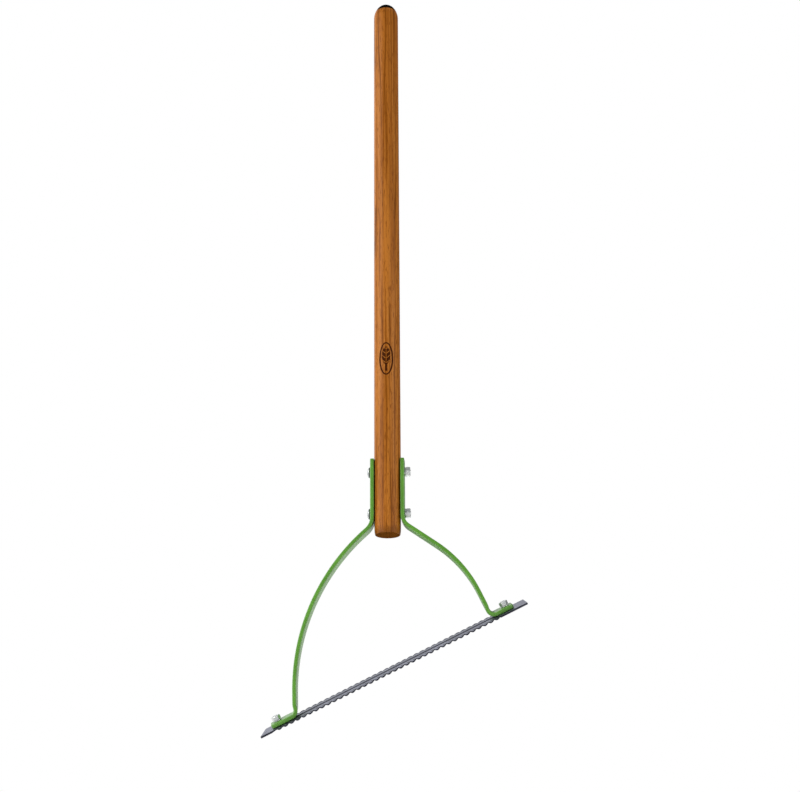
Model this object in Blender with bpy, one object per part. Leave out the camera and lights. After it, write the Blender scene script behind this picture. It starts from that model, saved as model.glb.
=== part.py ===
"""Double-edged weed cutter: a turned handle, two flat steel straps and a toothed blade.

The handle stands on +Z. The origin is the centre of its lower end face, X runs along
the spread of the straps and Y runs across the cutting edges. Units are metres.
"""
import math

import bmesh
import bpy
from mathutils import Matrix, Vector

INCH = 0.0254
MM = 0.001
GAP = 0.3 * MM

# Handle
HANDLE_LENGTH = 30.0 * INCH
HANDLE_RADIUS = 0.5 * 1.3125 * INCH
DOME_HEIGHT = 22.0 * MM
END_EASE_HEIGHT = 11.0 * MM
END_EASE_DEPTH = 0.9 * MM
END_ROUND = 1.4 * MM
SEAT_DEPTH = 0.5 * MM
SEAT_OVERRUN = 1.0 * MM
END_ROUND_STEPS = 3
END_EASE_STEPS = 4
DOME_STEPS = 8

# Straps
STRAP_THICKNESS = 0.1875 * INCH
STRAP_WIDTH = 0.75 * INCH
STRAP_CHAMFER = 0.9 * MM
STRAP_CORNER = 4.0 * MM
STRAP_TOP = 98.0 * MM
FOOT_INSET = 16.0 * MM
FOOT_BEND_RADIUS = 7.0 * MM
TWIST_LEAD = 6.0 * MM
SEAT_HALF_SPAN = 0.75 * STRAP_WIDTH
CORNER_STEPS = 4
# How many steps each leg of an arm is drawn in, from the clamp down to the foot
CLAMP_STEPS, BEND_STEPS, RUN_STEPS, SWEEP_STEPS = 8, 6, 2, 14
REACH_STEPS, FOOT_BEND_STEPS, FOOT_STEPS = 3, 7, 8
# Each arm's first bend, straight run and long sweep
LEFT_ARM = {"bend_start": 21.2 * MM, "bend_radius": 20.0 * MM,
            "bend_angle": math.radians(48.6), "upper_run": 1.2 * MM,
            "sweep_radius": 252.0 * MM, "sweep_angle": math.radians(50.4)}
RIGHT_ARM = {"bend_start": 24.1 * MM, "bend_radius": 17.0 * MM,
             "bend_angle": math.radians(54.9), "upper_run": 41.3 * MM,
             "sweep_radius": 154.0 * MM, "sweep_angle": math.radians(29.5)}

# Blade
BLADE_LENGTH = 353.4 * MM
BLADE_WIDTH = 1.25 * INCH
BLADE_THICKNESS = 2.3 * MM
BLADE_TILT = math.radians(25.75)
BLADE_RAKE = math.radians(21.0)
BLADE_CENTRE_X = 5.6 * MM
BLADE_CENTRE_Z = -159.6 * MM
END_SKEW = 7.0 * MM
END_SKEW_RUN = 14.0 * MM
RIB_WIDTH = 4.8 * MM
SHOULDER_WIDTH = 1.4 * MM
GRIND_DEPTH = 0.5 * MM
FLUTE_WIDTH = 8.0 * MM
FLUTE_DEPTH = 0.7 * MM
TOOTH_COUNT = 37
TOOTH_PITCH = 8.0 * MM
TOOTH_DEPTH = 2.2 * MM
TOOTH_PEAK = 0.4
NEAR_WAVE = 0.85 * MM
FAR_WAVE = -0.55 * MM
WAVE_REST = 0.3
PLAIN_LEFT = 20.9 * MM
PLAIN_RIGHT = 22.5 * MM
STEPS_PER_TOOTH = 4

# Fasteners: quarter inch through the handle, three sixteenths through the blade
HANDLE_FIX = {"radius": 0.125 * INCH, "head_radius": 6.8 * MM, "head_height": 4.0 * MM,
              "neck_side": 0.25 * INCH, "neck_length": 3.2 * MM, "protrusion": 0.5 * MM,
              "nut_flats": 0.4375 * INCH, "nut_height": 5.3 * MM,
              "washer_outer": 6.0 * MM, "washer_thickness": 1.3 * MM}
BLADE_FIX = {"radius": 0.09375 * INCH, "head_radius": 5.6 * MM, "head_height": 2.4 * MM,
             "neck_side": 0.1875 * INCH, "neck_length": 2.0 * MM, "protrusion": 0.4 * MM,
             "nut_flats": 0.375 * INCH, "nut_height": 4.9 * MM,
             "washer_outer": 4.9 * MM, "washer_thickness": 1.1 * MM}
HEAD_RIM = 0.6 * MM
TIP_CHAMFER = 0.7 * MM
SHANK_EASE = 0.01 * MM
JOIN_OVERLAP = 0.5 * MM
NUT_FACE_EASE = 0.1 * MM
CORNER_ANGLE = math.radians(30.0)
WASHER_BORE_EASE = 0.4 * MM
WASHER_SPLIT = math.radians(14.0)
CUT_OVERRUN = 5.0 * MM
UPPER_BOLT_Z = 81.0 * MM
LOWER_BOLT_Z = 27.5 * MM
BLADE_BOLT_INSET = 25.0 * MM
ROUND_SEGMENTS = 24
HANDLE_SEGMENTS = 48
HEAD_STEPS = 6
SHADE_ANGLE = math.radians(35.0)
MERGE_DISTANCE = 0.001 * MM

# Colours
WOOD_COLOUR = (0.40, 0.16, 0.045)
PAINT_COLOUR = (0.13, 0.36, 0.06)
STEEL_COLOUR = (0.30, 0.31, 0.36)
ZINC_COLOUR = (0.62, 0.65, 0.66)

# The blade's own axes: along its length, across it towards +Y, and up through it
ALONG = Vector((math.cos(BLADE_TILT), 0.0, math.sin(BLADE_TILT)))
UPRIGHT = Vector((-math.sin(BLADE_TILT), 0.0, math.cos(BLADE_TILT)))
BACKWARD = Vector((0.0, 1.0, 0.0))
BLADE_UP = UPRIGHT * math.cos(BLADE_RAKE) - BACKWARD * math.sin(BLADE_RAKE)
BLADE_ACROSS = BACKWARD * math.cos(BLADE_RAKE) + UPRIGHT * math.sin(BLADE_RAKE)
STRAP_INNER = HANDLE_RADIUS - SEAT_DEPTH + GAP
FOOT_LIFT = 0.5 * (STRAP_THICKNESS + BLADE_THICKNESS) + GAP
FOOT_CENTRE = Vector((BLADE_CENTRE_X, 0.0, BLADE_CENTRE_Z))
BLADE_CENTRE = FOOT_CENTRE - BLADE_UP * FOOT_LIFT


def clear_scene():
    """Remove every object that is already in the scene."""
    for old in list(bpy.data.objects):
        bpy.data.objects.remove(old, do_unlink=True)


def make_material(name, colour, roughness, metallic):
    """Return a Principled material with one colour."""
    material = bpy.data.materials.new(name)
    material.use_nodes = True
    shader = material.node_tree.nodes["Principled BSDF"]
    shader.inputs["Base Color"].default_value = (*colour, 1.0)
    shader.inputs["Roughness"].default_value = roughness
    shader.inputs["Metallic"].default_value = metallic
    material.diffuse_color = (*colour, 1.0)
    return material


def add_object(name, bm, material, matrix=None):
    """Turn a bmesh into a shaded object, its transform already in its mesh."""
    if matrix is not None:
        bm.transform(matrix)
    bmesh.ops.remove_doubles(bm, verts=bm.verts, dist=MERGE_DISTANCE)
    bmesh.ops.recalc_face_normals(bm, faces=bm.faces)
    mesh = bpy.data.meshes.new(name)
    bm.to_mesh(mesh)
    bm.free()
    mesh.shade_smooth()
    mesh.set_sharp_from_angle(angle=SHADE_ANGLE)
    thing = bpy.data.objects.new(name, mesh)
    if material is not None:
        mesh.materials.append(material)
    bpy.context.scene.collection.objects.link(thing)
    return thing


def cut(thing, cutters):
    """Subtract each cutter from the object with an exact Boolean."""
    for cutter in cutters:
        modifier = thing.modifiers.new("cut_" + cutter.name, "BOOLEAN")
        modifier.operation = "DIFFERENCE"
        modifier.solver = "EXACT"
        modifier.object = cutter


def hide_cutter(cutter):
    """Mark an object as a guide that isn't part of the tool."""
    cutter.hide_render = True
    cutter.display_type = "WIRE"
    return cutter


def frame_matrix(origin, x_axis, y_axis, z_axis):
    """Return the matrix that takes local axes to the given ones."""
    rotation = Matrix((x_axis, y_axis, z_axis)).transposed()
    return Matrix.Translation(origin) @ rotation.to_4x4()


def turned(profile, segments):
    """Spin a list of (radius, height) points about Z into a closed bmesh."""
    bm = bmesh.new()
    verts = [bm.verts.new((radius, 0.0, height)) for radius, height in profile]
    edges = [bm.edges.new(pair) for pair in zip(verts, verts[1:])]
    bmesh.ops.spin(bm, geom=verts + edges, angle=math.tau, steps=segments,
                   axis=(0.0, 0.0, 1.0), cent=(0.0, 0.0, 0.0))
    bmesh.ops.remove_doubles(bm, verts=bm.verts, dist=MERGE_DISTANCE)
    return bm


def prism(outline, bottom, top):
    """Extrude a flat outline along Z."""
    bm = bmesh.new()
    face = bm.faces.new([bm.verts.new((x, y, bottom)) for x, y in outline])
    grown = bmesh.ops.extrude_face_region(bm, geom=[face])
    raised = [item for item in grown["geom"] if isinstance(item, bmesh.types.BMVert)]
    bmesh.ops.translate(bm, verts=raised, vec=(0.0, 0.0, top - bottom))
    bmesh.ops.recalc_face_normals(bm, faces=bm.faces)
    return bm


def ring_points(radius, count):
    """Return points around a circle."""
    angles = [math.tau * step / count for step in range(count)]
    return [(radius * math.cos(a), radius * math.sin(a)) for a in angles]


def square_points(side):
    """Return the corners of a centred square."""
    half = 0.5 * side
    return [(-half, -half), (half, -half), (half, half), (-half, half)]


def round_cutter(name, matrix, fix, bottom, top):
    """Make a drill of the bolt's clearance size."""
    bm = prism(ring_points(fix["radius"] + GAP, ROUND_SEGMENTS), bottom, top)
    return hide_cutter(add_object(name, bm, None, matrix))


def square_cutter(name, matrix, fix, bottom, top):
    """Make a punch of the square neck's clearance size."""
    bm = prism(square_points(fix["neck_side"] + 2.0 * GAP), bottom, top)
    return hide_cutter(add_object(name, bm, None, matrix))


def handle_profile():
    """Return the turned outline of the handle, from the lower end to the top."""
    points = [(0.0, 0.0)]
    end_radius = HANDLE_RADIUS - END_EASE_DEPTH
    for step in range(END_ROUND_STEPS + 1):
        angle = 0.5 * math.pi * step / END_ROUND_STEPS
        points.append((end_radius - END_ROUND * (1.0 - math.sin(angle)),
                       END_ROUND * (1.0 - math.cos(angle))))
    for step in range(1, END_EASE_STEPS + 1):
        share = step / END_EASE_STEPS
        ease = END_EASE_DEPTH * (1.0 - share) ** 2
        points.append((HANDLE_RADIUS - ease,
                       END_ROUND + share * (END_EASE_HEIGHT - END_ROUND)))
    dome_base = HANDLE_LENGTH - DOME_HEIGHT
    for step in range(DOME_STEPS + 1):
        angle = 0.5 * math.pi * step / DOME_STEPS
        points.append((HANDLE_RADIUS * math.cos(angle),
                       dome_base + DOME_HEIGHT * math.sin(angle)))
    points[-1] = (0.0, HANDLE_LENGTH)
    return points


def blade_place(along, across, up):
    """Return the world point at a place given in the blade's own axes."""
    return BLADE_CENTRE + ALONG * along + BLADE_ACROSS * across + BLADE_UP * up


def blade_bolt_matrix(side):
    """Return the axes of a blade bolt, up along Z, on the left (-1) or right (+1)."""
    along = side * (0.5 * BLADE_LENGTH - BLADE_BOLT_INSET)
    return frame_matrix(blade_place(along, 0.0, 0.0), ALONG, BLADE_ACROSS, BLADE_UP)


def handle_bolt_matrix(height):
    """Return the axes of a handle bolt: Z runs through the handle from -X to +X."""
    return frame_matrix(Vector((0.0, 0.0, height)), Vector((0.0, 1.0, 0.0)),
                        Vector((0.0, 0.0, 1.0)), Vector((1.0, 0.0, 0.0)))


def walk(start, heading, legs):
    """Follow straight and curved legs in the XZ plane.

    The heading is the angle from straight down towards the arm's own side. A leg is
    (length, turn, steps). Returns (place, heading, distance) stations.
    """
    stations = [(start.copy(), heading, 0.0)]
    place = start.copy()
    distance = 0.0
    for length, turn, steps in legs:
        for _ in range(steps if length > 0.0 else 0):
            middle = heading + 0.5 * turn / steps
            half_turn = 0.5 * abs(turn) / steps
            chord = length / steps
            if half_turn > 0.0:
                chord *= math.sin(half_turn) / half_turn
            place = place + chord * Vector((math.sin(middle), -math.cos(middle)))
            heading += turn / steps
            distance += length / steps
            stations.append((place.copy(), heading, distance))
    return stations


def arm_stations(side, arm):
    """Return one strap's stations and where its foot bend starts and ends.

    The run above the foot is just long enough to reach the blade, and the foot ends
    at its place along the blade.
    """
    bend_angle, sweep_angle = arm["bend_angle"], arm["sweep_angle"]
    foot_heading = 0.5 * math.pi + side * BLADE_TILT
    arrive = bend_angle - sweep_angle
    foot_turn = foot_heading - arrive
    upper = [(STRAP_TOP - arm["bend_start"], 0.0, CLAMP_STEPS),
             (arm["bend_radius"] * bend_angle, bend_angle, BEND_STEPS),
             (arm["upper_run"], 0.0, RUN_STEPS),
             (arm["sweep_radius"] * sweep_angle, -sweep_angle, SWEEP_STEPS)]
    bend = [(FOOT_BEND_RADIUS * foot_turn, foot_turn, FOOT_BEND_STEPS)]
    start = Vector((STRAP_INNER + 0.5 * STRAP_THICKNESS, STRAP_TOP))
    foot_line = Vector((side * FOOT_CENTRE.x, FOOT_CENTRE.z))
    along_foot = Vector((math.sin(foot_heading), -math.cos(foot_heading)))
    across_foot = Vector((math.cos(foot_heading), math.sin(foot_heading)))
    shortfall = (foot_line - walk(start, 0.0, upper + bend)[-1][0]).dot(across_foot)
    run_step = Vector((math.sin(arrive), -math.cos(arrive))).dot(across_foot)
    reach = upper + [(shortfall / run_step, 0.0, REACH_STEPS)] + bend
    bent, _, bend_end = walk(start, 0.0, reach)[-1]
    foot_end = 0.5 * BLADE_LENGTH - FOOT_INSET
    foot_length = foot_end - (bent - foot_line).dot(along_foot)
    stations = walk(start, 0.0, reach + [(foot_length, 0.0, FOOT_STEPS)])
    return stations, bend_end - FOOT_BEND_RADIUS * foot_turn, bend_end


def section_outline(half_width):
    """Return the strap's section, (through, across), with its corners broken."""
    half = 0.5 * STRAP_THICKNESS
    c = STRAP_CHAMFER
    return [(half, half_width - c), (half - c, half_width),
            (-half + c, half_width), (-half, half_width - c),
            (-half, -half_width + c), (-half + c, -half_width),
            (half - c, -half_width), (half, -half_width + c)]


def strap_half_width(distance, total):
    """Return the half width, drawn in at the strap's rounded corners."""
    inset = STRAP_CORNER - min(STRAP_CORNER, distance, total - distance)
    return 0.5 * STRAP_WIDTH - STRAP_CORNER + math.sqrt(STRAP_CORNER ** 2 - inset ** 2)


def smooth_share(distance, start, end):
    """Return a smooth 0 to 1 between two distances."""
    t = min(1.0, max(0.0, (distance - start) / (end - start)))
    return t * t * (3.0 - 2.0 * t)


def insert_corner_stations(stations):
    """Add stations where the strap's corners round off."""
    total = stations[-1][2]
    turns = [0.5 * math.pi * k / CORNER_STEPS for k in range(1, CORNER_STEPS + 1)]
    extra = [STRAP_CORNER * (1.0 - math.cos(turn)) for turn in turns]
    first, last = stations[0], stations[-1]
    down = Vector((math.sin(first[1]), -math.cos(first[1])))
    away = Vector((math.sin(last[1]), -math.cos(last[1])))
    head = [(first[0] + down * e, first[1], e) for e in extra]
    tail = [(last[0] - away * e, last[1], total - e) for e in reversed(extra)]
    inner = [s for s in stations[1:-1] if extra[-1] < s[2] < total - extra[-1]]
    return [first] + head + inner + tail + [last]


def make_strap(name, side, arm, material):
    """Sweep the strap's section along its stations and cap both ends."""
    stations, bend_start, bend_end = arm_stations(side, arm)
    stations = insert_corner_stations(stations)
    total = stations[-1][2]
    bm = bmesh.new()
    rings = []
    for place, heading, distance in stations:
        centre = Vector((side * place.x, 0.0, place.y))
        inward = Vector((-side * math.cos(heading), 0.0, -math.sin(heading)))
        turn = BLADE_RAKE * smooth_share(distance, bend_start - TWIST_LEAD, bend_end)
        through = inward * math.cos(turn) + BACKWARD * math.sin(turn)
        across = BACKWARD * math.cos(turn) - inward * math.sin(turn)
        outline = section_outline(strap_half_width(distance, total))
        rings.append([bm.verts.new(centre + through * t + across * w) for t, w in outline])
    for ring, following in zip(rings, rings[1:]):
        for k in range(len(ring)):
            n = (k + 1) % len(ring)
            bm.faces.new((ring[k], ring[n], following[n], following[k]))
    bm.faces.new(rings[0])
    bm.faces.new(reversed(rings[-1]))
    return add_object(name, bm, material)


def tooth_phase(distance):
    """Return 0 to 1 within a tooth, or None outside the toothed stretch."""
    if distance <= 0.0 or distance >= TOOTH_COUNT * TOOTH_PITCH:
        return None
    return (distance / TOOTH_PITCH) % 1.0


def tooth_lobe(phase):
    """Return how far a tooth stands out, 0 in the notch and 1 at its rounded point."""
    if phase is None:
        return None
    if phase < TOOTH_PEAK:
        return math.sin(0.5 * math.pi * phase / TOOTH_PEAK)
    return math.sin(0.5 * math.pi * (1.0 - phase) / (1.0 - TOOTH_PEAK))


def blade_columns():
    """Return the places along the blade where its section is drawn."""
    half = 0.5 * BLADE_LENGTH
    step = TOOTH_PITCH / STEPS_PER_TOOTH
    count = round((BLADE_LENGTH - PLAIN_LEFT - PLAIN_RIGHT) / step)
    inner = [-half + PLAIN_LEFT + step * k for k in range(count + 1)]
    return [-half, -half + END_SKEW_RUN] + inner + [half]


def half_section(lobe, wave):
    """Return one side's (across, up) points from the edge inwards, top then bottom."""
    half_width = 0.5 * BLADE_WIDTH
    half = 0.5 * BLADE_THICKNESS
    rib = 0.5 * RIB_WIDTH
    flute = half_width - FLUTE_WIDTH
    grind, notch, drop, raised = 0.0, 0.0, 0.0, 0.0
    if lobe is not None:
        grind = GRIND_DEPTH
        notch = TOOTH_DEPTH * (1.0 - lobe)
        drop = wave * (lobe - WAVE_REST)
        raised = FLUTE_DEPTH * (1.0 - lobe)
    top = [(half_width - notch, half - grind - drop), (flute, half - grind),
           (rib + SHOULDER_WIDTH, half - grind), (rib, half)]
    bottom = [(half_width - notch, -half + raised - drop), (flute, -half)]
    return top, bottom


def blade_section(along):
    """Return the section's points at one place, as (across, up), all the way round."""
    half_length = 0.5 * BLADE_LENGTH
    near_lobe = tooth_lobe(tooth_phase(along + half_length - PLAIN_LEFT))
    far_lobe = tooth_lobe(tooth_phase(half_length - PLAIN_RIGHT - along))
    near_top, near_bottom = half_section(near_lobe, NEAR_WAVE)
    far_top, far_bottom = half_section(far_lobe, FAR_WAVE)
    near = [(-across, up) for across, up in reversed(near_bottom)]
    near += [(-across, up) for across, up in near_top]
    return near + far_top[::-1] + far_bottom


def make_blade(material):
    """Loft the toothed blade from its sections."""
    half_length = 0.5 * BLADE_LENGTH
    half_width = 0.5 * BLADE_WIDTH
    bm = bmesh.new()
    rings = []
    for along in blade_columns():
        ring = []
        share = max(0.0, 1.0 - (along + half_length) / END_SKEW_RUN)
        for across, up in blade_section(along):
            skew = END_SKEW * share * (across + half_width) / BLADE_WIDTH
            ring.append(bm.verts.new(blade_place(along + skew, across, up)))
        rings.append(ring)
    for ring, following in zip(rings, rings[1:]):
        for k in range(len(ring)):
            n = (k + 1) % len(ring)
            bm.faces.new((ring[k], ring[n], following[n], following[k]))
    bm.faces.new(rings[0])
    bm.faces.new(reversed(rings[-1]))
    return add_object("blade", bm, material)


def make_bolt(name, matrix, fix, head_at, tip_at, material):
    """Turn a round-headed bolt, its head below head_at and its tip at tip_at."""
    head_radius = fix["head_radius"]
    crown = fix["head_height"] - HEAD_RIM
    head = [(0.0, head_at - fix["head_height"])]
    for step in range(1, HEAD_STEPS + 1):
        angle = 0.5 * math.pi * step / HEAD_STEPS
        head.append((head_radius * math.sin(angle),
                     head_at - HEAD_RIM - crown * math.cos(angle)))
    profile = head + [(head_radius, head_at), (0.0, head_at)]
    bolt = add_object(name, turned(profile, ROUND_SEGMENTS), material, matrix)
    neck_bm = prism(square_points(fix["neck_side"]), head_at - JOIN_OVERLAP,
                    head_at + fix["neck_length"])
    neck = add_object("join_" + name + "_neck", neck_bm, None, matrix)
    radius = fix["radius"] - SHANK_EASE
    root = head_at - 2.0 * JOIN_OVERLAP
    shank_profile = [(0.0, root), (radius, root), (radius, tip_at - TIP_CHAMFER),
                     (radius - TIP_CHAMFER, tip_at), (0.0, tip_at)]
    shank = add_object("join_" + name + "_shank", turned(shank_profile, ROUND_SEGMENTS),
                       None, matrix)
    for extra in (neck, shank):
        hide_cutter(extra)
        modifier = bolt.modifiers.new(extra.name, "BOOLEAN")
        modifier.operation = "UNION"
        modifier.solver = "EXACT"
        modifier.object = extra
    return bolt


def make_nut(name, matrix, fix, seat, material):
    """Make a hexagon nut whose corners are turned off at both ends."""
    flat = 0.5 * fix["nut_flats"]
    corner = flat / math.cos(math.pi / 6)
    end = seat + fix["nut_height"]
    nut = add_object(name, prism(ring_points(corner, 6), seat, end), material, matrix)
    drop = (corner - flat) * math.tan(CORNER_ANGLE)
    rim = flat - NUT_FACE_EASE
    clear = corner + NUT_FACE_EASE
    cone = [(0.0, seat - GAP), (rim, seat - GAP), (rim, seat), (clear, seat + drop),
            (clear, end - drop), (rim, end), (rim, end + GAP), (0.0, end + GAP)]
    turning = add_object("shape_" + name, turned(cone, 2 * ROUND_SEGMENTS), None, matrix)
    hide_cutter(turning)
    modifier = nut.modifiers.new("turn_corners", "BOOLEAN")
    modifier.operation = "INTERSECT"
    modifier.solver = "EXACT"
    modifier.object = turning
    bore = round_cutter("bore_" + name, matrix, fix, seat - CUT_OVERRUN, end + CUT_OVERRUN)
    cut(nut, [bore])
    return nut


def make_washer(name, matrix, fix, seat, material):
    """Make a split lock washer."""
    inner = fix["radius"] + WASHER_BORE_EASE
    outer = fix["washer_outer"]
    top = seat + fix["washer_thickness"]
    bm = bmesh.new()
    rings = []
    for step in range(ROUND_SEGMENTS + 1):
        angle = 0.5 * WASHER_SPLIT + (math.tau - WASHER_SPLIT) * step / ROUND_SEGMENTS
        ring = []
        for radius, height in ((inner, seat), (outer, seat), (outer, top), (inner, top)):
            ring.append(bm.verts.new((radius * math.cos(angle), radius * math.sin(angle),
                                      height)))
        rings.append(ring)
    for ring, following in zip(rings, rings[1:]):
        for k in range(4):
            n = (k + 1) % 4
            bm.faces.new((ring[k], ring[n], following[n], following[k]))
    bm.faces.new(rings[0])
    bm.faces.new(reversed(rings[-1]))
    return add_object(name, bm, material, matrix)


def cut_seats(handle):
    """Flatten the handle's two sides where the straps are drawn down on it."""
    for label, side in (("left", -1.0), ("right", 1.0)):
        flat = side * (HANDLE_RADIUS - SEAT_DEPTH)
        clear = side * (HANDLE_RADIUS + SEAT_DEPTH)
        outline = [(flat, -SEAT_HALF_SPAN), (clear, -SEAT_HALF_SPAN),
                   (clear, SEAT_HALF_SPAN), (flat, SEAT_HALF_SPAN)]
        block = prism(outline, -SEAT_OVERRUN, STRAP_TOP + SEAT_OVERRUN)
        cut(handle, [hide_cutter(add_object("seat_" + label, block, None))])


def build_handle_joint(handle, left, right, zinc):
    """Bolt both straps through the handle, once above the other."""
    fix = HANDLE_FIX
    outside = STRAP_INNER + STRAP_THICKNESS
    washer_seat = outside + GAP
    nut_seat = washer_seat + fix["washer_thickness"] + GAP
    tip = nut_seat + fix["nut_height"] + fix["protrusion"]
    reach = outside + CUT_OVERRUN
    for label, height in (("upper", UPPER_BOLT_Z), ("lower", LOWER_BOLT_Z)):
        matrix = handle_bolt_matrix(height)
        cut(handle, [round_cutter("drill_handle_" + label, matrix, fix, -reach, reach)])
        cut(right, [round_cutter("drill_strap_" + label, matrix, fix, 0.0, reach)])
        cut(left, [square_cutter("punch_strap_" + label, matrix, fix, -reach, 0.0)])
        make_bolt("handle_bolt_" + label, matrix, fix, -outside - GAP, tip, zinc)
        make_washer("handle_lock_washer_" + label, matrix, fix, washer_seat, zinc)
        make_nut("handle_nut_" + label, matrix, fix, nut_seat, zinc)


def build_blade_joint(label, side, blade, strap, zinc):
    """Bolt one strap's foot down on the blade."""
    fix = BLADE_FIX
    matrix = blade_bolt_matrix(side)
    under = -0.5 * BLADE_THICKNESS
    foot_top = FOOT_LIFT + 0.5 * STRAP_THICKNESS
    washer_seat = foot_top + GAP
    nut_seat = washer_seat + fix["washer_thickness"] + GAP
    tip = nut_seat + fix["nut_height"] + fix["protrusion"]
    punch = square_cutter("punch_blade_" + label, matrix, fix, under - CUT_OVERRUN,
                          GAP - under)
    drill = round_cutter("drill_foot_" + label, matrix, fix, 0.0, foot_top + CUT_OVERRUN)
    cut(blade, [punch])
    cut(strap, [drill])
    make_bolt("blade_bolt_" + label, matrix, fix, under - GAP, tip, zinc)
    make_washer("blade_lock_washer_" + label, matrix, fix, washer_seat, zinc)
    make_nut("blade_nut_" + label, matrix, fix, nut_seat, zinc)


def main():
    """Build the whole tool."""
    clear_scene()
    wood = make_material("varnished_hardwood", WOOD_COLOUR, 0.35, 0.0)
    paint = make_material("green_paint", PAINT_COLOUR, 0.38, 0.0)
    steel = make_material("blade_steel", STEEL_COLOUR, 0.38, 1.0)
    zinc = make_material("zinc_plate", ZINC_COLOUR, 0.30, 1.0)
    handle = add_object("handle", turned(handle_profile(), HANDLE_SEGMENTS), wood)
    cut_seats(handle)
    left = make_strap("left_strap", -1, LEFT_ARM, paint)
    right = make_strap("right_strap", 1, RIGHT_ARM, paint)
    blade = make_blade(steel)
    build_handle_joint(handle, left, right, zinc)
    build_blade_joint("left", -1, blade, left, zinc)
    build_blade_joint("right", 1, blade, right, zinc)


main()
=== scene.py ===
import math

import bpy
from mathutils import Matrix, Vector


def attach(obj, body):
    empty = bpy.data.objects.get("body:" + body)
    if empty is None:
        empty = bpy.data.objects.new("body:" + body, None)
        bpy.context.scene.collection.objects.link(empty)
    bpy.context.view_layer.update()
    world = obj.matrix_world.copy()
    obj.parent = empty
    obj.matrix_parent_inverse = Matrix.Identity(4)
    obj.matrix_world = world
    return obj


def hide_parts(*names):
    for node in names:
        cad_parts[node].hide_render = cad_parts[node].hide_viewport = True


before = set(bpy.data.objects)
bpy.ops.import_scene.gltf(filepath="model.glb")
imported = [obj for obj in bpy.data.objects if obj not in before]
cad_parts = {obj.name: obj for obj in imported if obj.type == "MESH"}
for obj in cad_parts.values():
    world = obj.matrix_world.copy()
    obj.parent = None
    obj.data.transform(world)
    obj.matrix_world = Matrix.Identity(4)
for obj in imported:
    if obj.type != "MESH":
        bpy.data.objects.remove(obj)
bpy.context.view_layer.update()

INCH = 0.0254
MM = 0.001
GAP = 0.3 * MM

# Handle
HANDLE_LENGTH = 30.0 * INCH
HANDLE_RADIUS = 0.5 * 1.3125 * INCH
DOME_HEIGHT = 22.0 * MM
END_EASE_HEIGHT = 11.0 * MM
END_EASE_DEPTH = 0.9 * MM
END_ROUND = 1.4 * MM
SEAT_DEPTH = 0.5 * MM
SEAT_TOP = 99.0 * MM
DIP_HEIGHT = 11.8 * MM
EMBLEM_Z = 227.5 * MM
# Rings of faces, from the end's middle outwards, that show sawn end grain
SAWN_RINGS = 7
END_RING_SHARES = (0.02, 0.25, 0.5, 0.75)
END_STEPS, SEAT_STEPS, SHAFT_STEPS, DOME_STEPS = 8, 12, 60, 24
# The dome stops a little short of its pole
DOME_REACH = 24.3
SEAT_POINTS, SIDE_POINTS = 8, 40

# Straps
STRAP_THICKNESS = 0.1875 * INCH
STRAP_WIDTH = 0.75 * INCH
STRAP_EDGE = 1.0 * MM
STRAP_CORNER = 4.0 * MM
STRAP_TOP = 98.0 * MM
FOOT_INSET = 16.0 * MM
FOOT_BEND_RADIUS = 7.0 * MM
TWIST_LEAD = 6.0 * MM
CORNER_STEPS = 4
END_ROUND_STEPS = 12
ARRIS_REACH = 0.6 * MM
# How many steps each leg of an arm is drawn in, from the clamp down to the foot
CLAMP_STEPS, BEND_STEPS, RUN_STEPS, SWEEP_STEPS = 12, 16, 5, 36
REACH_STEPS, FOOT_BEND_STEPS, FOOT_STEPS = 6, 18, 14
LEFT_ARM = {"bend_start": 21.2 * MM, "bend_radius": 20.0 * MM,
            "bend_angle": math.radians(48.6), "upper_run": 1.2 * MM,
            "sweep_radius": 252.0 * MM, "sweep_angle": math.radians(50.4)}
RIGHT_ARM = {"bend_start": 24.1 * MM, "bend_radius": 17.0 * MM,
             "bend_angle": math.radians(54.9), "upper_run": 41.3 * MM,
             "sweep_radius": 154.0 * MM, "sweep_angle": math.radians(29.5)}

# Blade
BLADE_LENGTH = 353.4 * MM
BLADE_WIDTH = 1.25 * INCH
BLADE_THICKNESS = 2.3 * MM
BLADE_TILT = math.radians(25.75)
BLADE_RAKE = math.radians(21.0)
BLADE_CENTRE_X = 5.6 * MM
BLADE_CENTRE_Z = -159.6 * MM
END_SKEW = 7.0 * MM
END_SKEW_RUN = 14.0 * MM
RIB_WIDTH = 4.8 * MM
SHOULDER_WIDTH = 1.4 * MM
GRIND_DEPTH = 0.5 * MM
FLUTE_WIDTH = 8.0 * MM
FLUTE_DEPTH = 0.7 * MM
TOOTH_COUNT = 37
TOOTH_PITCH = 8.0 * MM
TOOTH_DEPTH = 2.2 * MM
TOOTH_PEAK = 0.4
NEAR_WAVE = 0.85 * MM
FAR_WAVE = -0.55 * MM
WAVE_REST = 0.3
WAVE_FALL = 1.5
PLAIN_LEFT = 20.9 * MM
PLAIN_RIGHT = 22.5 * MM
COLUMNS_PER_TOOTH = 16
TOP_STEPS, BOTTOM_STEPS = 6, 3
# The painted shade in the ground hollow between two teeth leans along the blade and fades at the
# flute
HOLLOW_LEAN = 4.0 * MM
HOLLOW_FADE = 3

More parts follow.
